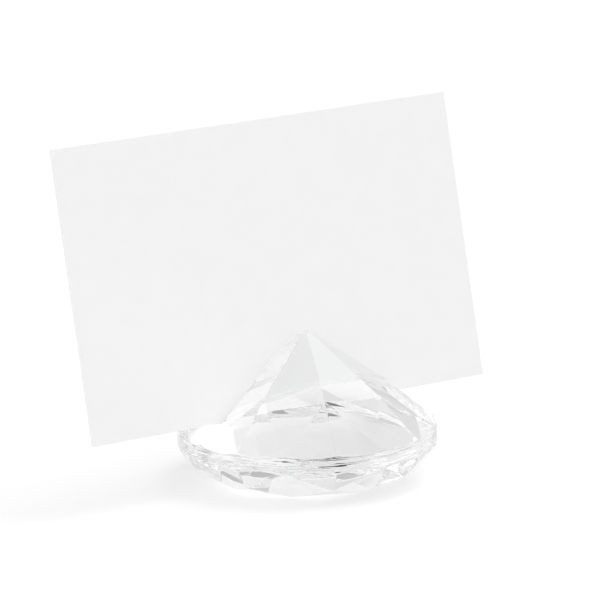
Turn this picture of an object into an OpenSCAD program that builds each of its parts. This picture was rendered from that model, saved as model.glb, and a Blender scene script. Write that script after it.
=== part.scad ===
// A place card holder: a clear moulded brilliant, lying on its flat table with
// its point up, and the card that stands in the slot beside that point.
// Millimetres. +Z is up, X runs along the slot, and the card faces -Y.
// The origin is the centre of the flat table, on the surface that it stands on.

/* [Brilliant] */
// Diameter of the round girdle
girdle_d = 49; // [46:0.5:54]
// Height of the girdle band, at its thick places
girdle_h = 3.3; // [2:0.1:4]
// Height of the crown, from the table up to the girdle band
crown_h = 6.2; // [5:0.1:7.5]
// Size of the flat table, across its corners
table_d = 34.6; // [31:0.2:36]
// Height from the girdle band to where the eight main facets would meet
pavilion_h = 18.8; // [17:0.1:21]
// Width of the small flat on the point, across its sides
tip_d = 2.2; // [0.6:0.1:3]
// Where a star facet ends, on the way from the table's side to the girdle
star_end_share = 0.63; // [0.5:0.01:0.7]
// Where a ridge ends, on the way from the point to the girdle
ridge_end_share = 0.62; // [0.5:0.01:0.7]

/* [Slot] */
// Width of the slot, square to its walls
slot_w = 1.4; // [0.8:0.1:2]
// Lean of the slot, away from upright
slot_lean = 12.5; // [5:0.5:16]
// Height of the front edge of the slot's floor above the table
slot_floor_z = 13; // [11.5:0.1:15]

/* [Card] */
// Width of the card
card_w = 90; // [70:1:100]
// Height of the card
card_h = 55; // [40:1:65]
// Thickness of the card stock
card_t = 0.4; // [0.2:0.05:0.6]
// Free play between the card and the slot's back wall and floor
card_play = 0.1; // [0.05:0.01:0.15]
// How far the card's middle stands from the middle of the slot
card_shift = -3; // [-10:0.5:10]

/* [Hidden] */
$fn = 128;

girdle_r = girdle_d / 2;
table_r = table_d / 2;
// A brilliant's main facets, and the turns from one of them to its ridge and to
// the half facet beside it
mains = 8;
ridge_turn = 180 / mains;
half_turn = ridge_turn / 2;
girdle_top = crown_h + girdle_h;
peak_z = girdle_top + pavilion_h;
tip_z = peak_z - pavilion_h * tip_d / girdle_d;
// Every cutting block reaches past the whole stone
block = 2 * girdle_d;

// The kite facets rise from the table's corners to the girdle. Two of them and
// a star facet meet at the star's outer corner.
table_side = table_r * cos(ridge_turn);
star_r = table_side + star_end_share * (girdle_r - table_side);
star_z = crown_h * (star_r * cos(ridge_turn) - table_r) / (girdle_r - table_r);
// The main facets fall from the peak to the girdle. Two of them meet in a ridge,
// which ends where the half facets begin.
ridge_r = ridge_end_share * girdle_r;
ridge_z = peak_z - pavilion_h * ridge_end_share * cos(ridge_turn);

// One flat cut at a facet's azimuth, on the line from an inner to an outer point,
// each given as its distance from the axis and its height. All above the line
// goes, or all below it.
module cut(azimuth, inner, outer, above)
    rotate(azimuth)
        translate([inner[0], 0, inner[1]])
            rotate([0, -atan2(outer[1] - inner[1], outer[0] - inner[0]), 0])
                translate([-block / 2, -block / 2, above ? 0 : -block])
                    cube(block);

// A ring of equal cuts, the first of them at the azimuth start
module tier(count, start, inner, outer, above)
    for (i = [0 : count - 1])
        cut(start + i * 360 / count, inner, outer, above);

// The kites, the stars and the half facets below the girdle
module crown_cuts() {
    tier(mains, 0, [table_r, 0], [girdle_r, crown_h], false);
    tier(mains, ridge_turn, [table_side, 0], [star_r, star_z], false);
    tier(2 * mains, half_turn, [star_r * cos(half_turn), star_z],
        [girdle_r * cos(half_turn), crown_h], false);
}

// The main facets and the half facets above the girdle
module pavilion_cuts() {
    tier(mains, 0, [0, peak_z], [girdle_r, girdle_top], true);
    tier(2 * mains, half_turn, [ridge_r * cos(half_turn), ridge_z],
        [girdle_r * cos(half_turn), girdle_top], true);
}

// Places its children on the front edge of the slot's floor, leaning as it does
module in_slot()
    translate([0, -slot_w / 2, slot_floor_z])
        rotate([-slot_lean, 0, 0])
            children();

module slot()
    in_slot()
        translate([-block / 2, 0, 0])
            cube([block, slot_w, block]);

module brilliant()
    color([0.93, 0.95, 0.96, 0.45])
        difference() {
            cylinder(h = tip_z, r = girdle_r);
            crown_cuts();
            pavilion_cuts();
            slot();
        }

// The card leans on the back wall
module place_card()
    color("white")
        in_slot()
            translate([card_shift - card_w / 2, slot_w - card_play - card_t, card_play])
                cube([card_w, card_t, card_h]);

brilliant();
place_card();
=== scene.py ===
import math

import bpy
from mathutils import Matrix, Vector


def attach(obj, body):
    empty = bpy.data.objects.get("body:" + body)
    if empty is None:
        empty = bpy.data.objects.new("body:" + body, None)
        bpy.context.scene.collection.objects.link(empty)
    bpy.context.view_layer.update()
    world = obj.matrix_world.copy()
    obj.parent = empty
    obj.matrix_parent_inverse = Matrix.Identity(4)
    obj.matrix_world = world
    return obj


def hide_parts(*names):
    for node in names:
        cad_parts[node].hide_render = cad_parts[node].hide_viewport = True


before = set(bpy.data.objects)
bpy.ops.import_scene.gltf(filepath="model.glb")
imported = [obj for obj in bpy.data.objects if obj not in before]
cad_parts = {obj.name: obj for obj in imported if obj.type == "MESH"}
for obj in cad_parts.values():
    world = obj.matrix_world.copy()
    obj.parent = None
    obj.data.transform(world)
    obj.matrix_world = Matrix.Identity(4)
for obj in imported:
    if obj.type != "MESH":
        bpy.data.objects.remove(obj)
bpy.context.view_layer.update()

MM = 0.001

# The stone's sizes in millimetres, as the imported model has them
GIRDLE_R = 24.5
GIRDLE_H = 3.3
CROWN_H = 6.2
TABLE_R = 17.3
PAVILION_H = 18.8
TIP_R = 1.1
STAR_END_SHARE = 0.63
RIDGE_END_SHARE = 0.62
MAINS = 8
GIRDLE_SIDES = 128
GIRDLE_TOP = CROWN_H + GIRDLE_H
PEAK_Z = GIRDLE_TOP + PAVILION_H
TIP_Z = PEAK_Z - PAVILION_H * TIP_R / GIRDLE_R

# The slot, and the card that stands in it
SLOT_W = 1.4
SLOT_LEAN = math.radians(12.5)
SLOT_FLOOR_Z = 13.0
CARD_W = 90.0
CARD_H = 55.0
CARD_T = 0.4
CARD_PLAY = 0.1
CARD_SHIFT = -3.0

# How far edges are rounded, and which edges are
POLISHED_EDGE = 0.14
TRIMMED_EDGE = 0.06
EDGE_STEPS = 2
LEAST_EDGE_ANGLE = math.radians(6)

# What counts as the girdle's round wall: how upright it is, and how far out
UPRIGHT = 0.02
WALL_DEPTH = 0.1
STREAKS_FROM, STREAKS_FULL = 24.2, 24.4

# How high the unevenness of each surface stands
ACRYLIC_RELIEF = 0.02
PAPER_RELIEF = 0.03

# The table top, which lies a hair under the stone
FLOOR_SIZE = 8.0
FLOOR_GAP = 0.08
FLOOR_TONE = 0.84
FLOOR_SEEN_TONE = 0.9
FLOOR_LIFT = 0.05
FLOOR_WHITE_SHARE = 0.1

# The studio: its plain level as light and as the white that is seen through glass, then
# each soft panel's direction, where it starts and is full as the cosine from that
# direction, and what it adds. The key isn't seen through glass, and the dark flags are
# seen through glass alone.
STUDIO = 0.95
WHITE = 1.0
KEY = ((0.6, 0.03, 0.8), 0.88, 0.98, 1.4)
SOFT_PANELS = [
    ((-0.95, 0.1, 0.35), 0.4, 0.95, 0.12),
    ((0.25, 0.95, 0.25), 0.4, 0.95, -0.18),
    ((0.9, 0.2, 0.35), 0.9, 0.98, 0.2),
]
DARK_FLAGS = [
    ((-0.05, 0.1, 1.0), 0.94, 0.985, 0.82),
    ((-0.35, -0.85, 0.2), 0.78, 0.97, 0.52),
    ((-0.37, 0.5, 0.77), 0.8, 0.96, 0.28),
    ((-0.05, 0.95, 0.25), 0.75, 0.98, 0.13),
]

# The photograph's camera: its place in metres, its turn in degrees, and its lens
EYE = (-0.54995, -0.77644, 0.25114)
EYE_TURN = (77.1238, 0.872, -35.4516)
SENSOR, LENS = 36.0, 312.25
NEAREST, FARTHEST = 0.01, 20.0

# Light passes through many faces of the stone before it leaves
GLASS_BOUNCES = 32
MATT_BOUNCES = 6


class Value:
    """A shader socket that adds its own Math nodes when it is used in a sum."""

    def __init__(self, shader, socket):
        self.shader, self.socket = shader, socket

    def maths(self, operation, *values):
        return self.shader.add("ShaderNodeMath", {"operation": operation}, dict(enumerate(values)))

    def __add__(self, other):
        return self.maths("ADD", self, other)

    def __sub__(self, other):
        return self.maths("SUBTRACT", self, other)

    def __rsub__(self, other):
        return self.maths("SUBTRACT", other, self)

    def __mul__(self, other):
        return self.maths("MULTIPLY", self, other)

    def __gt__(self, other):
        return self.maths("GREATER_THAN", self, other)

    __radd__ = __add__
    __rmul__ = __mul__


class Shader:
    """The node tree of a material, or of the world."""

    def __init__(self, owner):
        owner.use_nodes = True
        self.tree = owner.node_tree
        self.tree.nodes.clear()

    def add(self, kind, settings=(), sockets=(), out=0):
        node = self.tree.nodes.new(kind)
        for name, value in dict(settings).items():
            setattr(node, name, value)
        for name, value in dict(sockets).items():
            socket = node.inputs[name]
            if isinstance(value, Value):
                self.tree.links.new(value.socket, socket)
            else:
                socket.default_value = value
        return Value(self, node.outputs[out])

    def place(self, stretch=None):
        """The piece's own coordinates in metres, scaled apart where a pattern runs one way."""
        here = self.add("ShaderNodeTexCoord", out="Object")
        if stretch is None:
            return here
        return self.add("ShaderNodeMapping", sockets={"Vector": here, "Scale": stretch})

    def noise(self, scale, detail, roughness, stretch=None):
        return self.add(
            "ShaderNodeTexNoise",
            sockets={
                "Vector": self.place(stretch),
                "Scale": scale,
                "Detail": detail,
                "Roughness": roughness,
            },
        )

    def relief(self, strength, depth, height):
        """Turns a height into small bumps that stand up by the depth in millimetres."""
        return self.add(
            "ShaderNodeBump",
            sockets={"Strength": strength, "Distance": depth * MM, "Height": height},
        )

    def blend(self, share, low, high):
        return self.add(
            "ShaderNodeMix", {"data_type": "RGBA"}, {0: share, 6: low, 7: high}, out=2
        )

    def ray(self, kind):
        return self.add("ShaderNodeLightPath", out=kind)

    def diffuse(self, tone):
        return self.add("ShaderNodeBsdfDiffuse", sockets={"Color": grey(tone)})

    def glow(self, kind, strength):
        return self.add(kind, sockets={"Color": grey(1.0), "Strength": strength})

    def mix(self, share, first, second):
        return self.add("ShaderNodeMixShader", sockets={0: share, 1: first, 2: second})

    def finish(self, kind, value):
        node = self.tree.nodes.new(kind)
        self.tree.links.new(value.socket, node.inputs["Surface"])


def grey(level):
    return (level, level, level, 1.0)


def clear_acrylic():
    """Polished clear acrylic. Moulding leaves its faces very slightly uneven, and
    the polishing wheel leaves fine streaks round the girdle."""
    material = bpy.data.materials.new("clear_acrylic")
    s = Shader(material)
    flow = s.noise(scale=110.0, detail=1.0, roughness=0.4)
    ripple = s.noise(scale=420.0, detail=1.0, roughness=0.5)
    haze = s.noise(scale=60.0, detail=3.0, roughness=0.6)
    streaks = s.noise(scale=1.0, detail=2.0, roughness=0.5, stretch=(90.0, 90.0, 1200.0))
    across = s.place(stretch=(1.0, 1.0, 0.0))
    radius = s.add("ShaderNodeVectorMath", {"operation": "LENGTH"}, {0: across}, out="Value")
    girdle = s.add(
        "ShaderNodeMapRange",
        sockets={"Value": radius, "From Min": STREAKS_FROM * MM, "From Max": STREAKS_FULL * MM},
    )
    height = flow + ripple * 0.15 + girdle * streaks * 8.0
    acrylic = s.add(
        "ShaderNodeBsdfPrincipled",
        sockets={
            "Base Color": s.blend(haze, (0.994, 0.997, 0.998, 1.0), (0.999, 1.0, 1.0, 1.0)),
            "Roughness": haze * 0.008,
            "Transmission Weight": 1.0,
            "IOR": 1.49,
            "Normal": s.relief(1.0, ACRYLIC_RELIEF, height),
        },
    )
    s.finish("ShaderNodeOutputMaterial", acrylic)
    return material


def card_stock():
    """Uncoated white card stock, with a fine grain and a slightly cloudy formation."""
    material = bpy.data.materials.new("card_stock")
    s = Shader(material)
    cloud = s.noise(scale=260.0, detail=3.0, roughness=0.6)
    grain = s.noise(scale=2600.0, detail=3.0, roughness=0.65)
    fibre = s.noise(scale=900.0, detail=4.0, roughness=0.7, stretch=(1.0, 1.0, 3.5))
    tone = cloud * 0.5 + fibre * 0.3 + grain * 0.2
    paper = s.add(
        "ShaderNodeBsdfPrincipled",
        sockets={
            "Base Color": s.blend(tone, grey(0.88), grey(0.93)),
            "Roughness": 0.86 + grain * 0.12,
            "Specular IOR Level": 0.25,
            "Normal": s.relief(0.5, PAPER_RELIEF, grain * 0.6 + fibre * 0.4),
        },
    )
    s.finish("ShaderNodeOutputMaterial", paper)
    return material


def only(piece):
    """Selects one piece alone and makes it the active one."""
    bpy.ops.object.select_all(action="DESELECT")
    piece.select_set(True)
    bpy.context.view_layer.objects.active = piece


def bake_place(piece):
    """Moves a piece's place, turn and scale into its mesh."""
    only(piece)
    bpy.ops.object.transform_apply(location=True, rotation=True, scale=True)


def apply_modifier(piece, modifier):
    only(piece)
    bpy.ops.object.modifier_apply(modifier=modifier.name)


def round_edges(piece, width):
    """Rounds the sharp edges of a piece with a narrow bevel."""
    bevel = piece.modifiers.new("rounded edges", "BEVEL")
    bevel.width, bevel.segments = width * MM, EDGE_STEPS
    bevel.limit_method, bevel.angle_limit = "ANGLE", LEAST_EDGE_ANGLE
    bevel.use_clamp_overlap = False
    apply_modifier(piece, bevel)


def facet(azimuth, inner, outer, above):
    """Cuts one flat facet through two points given by distance from the axis and height."""
    run, rise = outer[0] - inner[0], outer[1] - inner[1]
    turn = math.radians(azimuth)
    side = 1.0 if above else -1.0
    normal = Vector((-rise * math.cos(turn), -rise * math.sin(turn), run)) * side
    point = Vector((inner[0] * math.cos(turn), inner[0] * math.sin(turn), inner[1])) * MM
    bpy.ops.mesh.select_all(action="SELECT")
    bpy.ops.mesh.bisect(
        plane_co=point,
        plane_no=normal.normalized(),
        use_fill=True,
        clear_outer=True,
        threshold=1e-7,
    )


def ring(count, start, inner, outer, above):
    """Cuts a ring of equal facets, the first of them at the azimuth start."""
    for i in range(count):
        facet(start + i * 360 / count, inner, outer, above)


def cut_facets():
    """Cuts the blank in edit mode: the crown below the girdle, then the pavilion above it."""
    ridge = 180 / MAINS
    half = ridge / 2
    cos_ridge, cos_half = math.cos(math.radians(ridge)), math.cos(math.radians(half))
    table_side = TABLE_R * cos_ridge
    star_r = table_side + STAR_END_SHARE * (GIRDLE_R - table_side)
    star_z = CROWN_H * (star_r * cos_ridge - TABLE_R) / (GIRDLE_R - TABLE_R)
    ring(MAINS, 0, (TABLE_R, 0), (GIRDLE_R, CROWN_H), False)
    ring(MAINS, ridge, (table_side, 0), (star_r, star_z), False)
    ring(2 * MAINS, half, (star_r * cos_half, star_z), (GIRDLE_R * cos_half, CROWN_H), False)

    ridge_r = RIDGE_END_SHARE * GIRDLE_R
    ridge_z = PEAK_Z - PAVILION_H * RIDGE_END_SHARE * cos_ridge
    ring(MAINS, 0, (0, PEAK_Z), (GIRDLE_R, GIRDLE_TOP), True)
    ring(2 * MAINS, half, (ridge_r * cos_half, ridge_z), (GIRDLE_R * cos_half, GIRDLE_TOP), True)


def in_slot(along, across, up):
    """A point given in the slot's own directions, from the front edge of its floor."""
    return Vector((
        along,
        -SLOT_W / 2 + across * math.cos(SLOT_LEAN) + up * math.sin(SLOT_LEAN),
        SLOT_FLOOR_Z - across * math.sin(SLOT_LEAN) + up * math.cos(SLOT_LEAN),
    )) * MM


def leaning_block(size, middle):
    """A block that leans as the slot does, its size and middle in the slot's directions."""
    bpy.ops.object.select_all(action="DESELECT")
    bpy.ops.mesh.primitive_cube_add(size=1, location=in_slot(*middle))
    block = bpy.context.object
    block.scale = Vector(size) * MM
    block.rotation_euler = (-SLOT_LEAN, 0, 0)
    bake_place(block)
    return block


def cut_slot(stone):
    """Cuts the slot, which leans and runs right through the stone."""
    length, height = 4 * GIRDLE_R, 2 * TIP_Z
    cutter = leaning_block((length, SLOT_W, height), (0, SLOT_W / 2, height / 2))
    slot = stone.modifiers.new("slot", "BOOLEAN")
    slot.operation, slot.solver, slot.object = "DIFFERENCE", "EXACT", cutter
    apply_modifier(stone, slot)
    bpy.data.objects.remove(cutter)


def smooth_girdle(stone):
    """Shades the upright round wall of the girdle as one smooth face."""
    for face in stone.data.polygons:
        outside = face.center.xy.length > (GIRDLE_R - WALL_DEPTH) * MM
        face.select = abs(face.normal.z) < UPRIGHT and outside
    bpy.ops.object.mode_set(mode="EDIT")
    bpy.ops.mesh.faces_shade_smooth()
    bpy.ops.object.mode_set(mode="OBJECT")


def brilliant():
    """The holder: a round blank, cut facet by facet, slotted and polished."""
    bpy.ops.object.select_all(action="DESELECT")
    bpy.ops.mesh.primitive_cylinder_add(
        vertices=GIRDLE_SIDES,
        radius=GIRDLE_R * MM,
        depth=TIP_Z * MM,
        location=(0, 0, TIP_Z * MM / 2),
    )
    stone = bpy.context.object
    stone.name = "faceted_stone"
    bake_place(stone)
    bpy.ops.object.mode_set(mode="EDIT")
    cut_facets()
    bpy.ops.object.mode_set(mode="OBJECT")
    cut_slot(stone)
    round_edges(stone, POLISHED_EDGE)
    smooth_girdle(stone)
    stone.data.materials.clear()
    stone.data.materials.append(clear_acrylic())
    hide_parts("brilliant")
    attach(stone, "holder")


def place_card():
    """The blank card, which leans on the slot's back wall."""
    card = leaning_block(
        (CARD_W, CARD_T, CARD_H),
        (CARD_SHIFT, SLOT_W - CARD_PLAY - CARD_T / 2, CARD_PLAY + CARD_H / 2),
    )
    card.name = "blank_card"
    round_edges(card, TRIMMED_EDGE)
    card.data.materials.clear()
    card.data.materials.append(card_stock())
    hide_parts("place_card")
    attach(card, "card")


def floor():
    """A white table top that keeps the shadow. The camera sees it with a little light of
    its own, and glass and gloss show it a little whiter than it is lit."""
    bpy.ops.object.select_all(action="DESELECT")
    bpy.ops.mesh.primitive_plane_add(size=FLOOR_SIZE, location=(0, 0, -FLOOR_GAP * MM))
    top = bpy.context.object
    top.name = "table_top"
    material = bpy.data.materials.new("white_table_top")
    s = Shader(material)
    matt = s.diffuse(FLOOR_TONE)
    white = s.glow("ShaderNodeEmission", WHITE)
    lift = s.glow("ShaderNodeEmission", FLOOR_LIFT)
    seen = s.add("ShaderNodeAddShader", sockets={0: s.diffuse(FLOOR_SEEN_TONE), 1: lift})
    through = s.ray("Is Transmission Ray") + s.ray("Is Glossy Ray")
    lit = s.mix(through, matt, s.mix(FLOOR_WHITE_SHARE, matt, white))
    s.finish("ShaderNodeOutputMaterial", s.mix(s.ray("Is Camera Ray"), lit, seen))
    top.data.materials.append(material)


def sky():
    """An even studio with one soft key, before a white backdrop. The clear stone also
    mirrors dark flags, which draw its facets as they do in the photograph."""
    world = bpy.data.worlds.new("studio")
    bpy.context.scene.world = world
    s = Shader(world)

    def panel(towards, start, full, change):
        outward = s.add("ShaderNodeTexCoord", out="Generated")
        facing = s.add(
            "ShaderNodeVectorMath",
            {"operation": "DOT_PRODUCT"},
            {0: outward, 1: Vector(towards).normalized()},
            out="Value",
        )
        return change * s.add(
            "ShaderNodeMapRange",
            {"interpolation_type": "SMOOTHSTEP"},
            {"Value": facing, "From Min": start, "From Max": full},
        )

    # What a matt face gathers through the stone is light, and the rest is a view
    gathered = s.ray("Diffuse Depth") > 0.5
    glass = s.ray("Is Transmission Ray") * (1 - gathered)
    level = STUDIO + (WHITE - STUDIO) * glass + panel(*KEY) * (1 - glass)
    for soft in SOFT_PANELS:
        level = level + panel(*soft)
    for flag in DARK_FLAGS:
        level = level - panel(*flag) * glass
    studio = s.glow("ShaderNodeBackground", level)
    backdrop = s.glow("ShaderNodeBackground", WHITE)
    s.finish("ShaderNodeOutputWorld", s.mix(s.ray("Is Camera Ray"), studio, backdrop))


def camera():
    data = bpy.data.cameras.new("camera")
    eye = bpy.data.objects.new("camera", data)
    bpy.context.scene.collection.objects.link(eye)
    eye.location = EYE
    eye.rotation_euler = [math.radians(angle) for angle in EYE_TURN]
    data.sensor_width, data.lens = SENSOR, LENS
    data.clip_start, data.clip_end = NEAREST, FARTHEST
    bpy.context.scene.camera = eye


camera()
brilliant()
place_card()
floor()
sky()

scene = bpy.context.scene
scene.view_settings.view_transform = "Standard"
scene.cycles.max_bounces = GLASS_BOUNCES
scene.cycles.transmission_bounces = GLASS_BOUNCES
scene.cycles.glossy_bounces = GLASS_BOUNCES
scene.cycles.diffuse_bounces = MATT_BOUNCES
scene.cycles.blur_glossy = 0.0
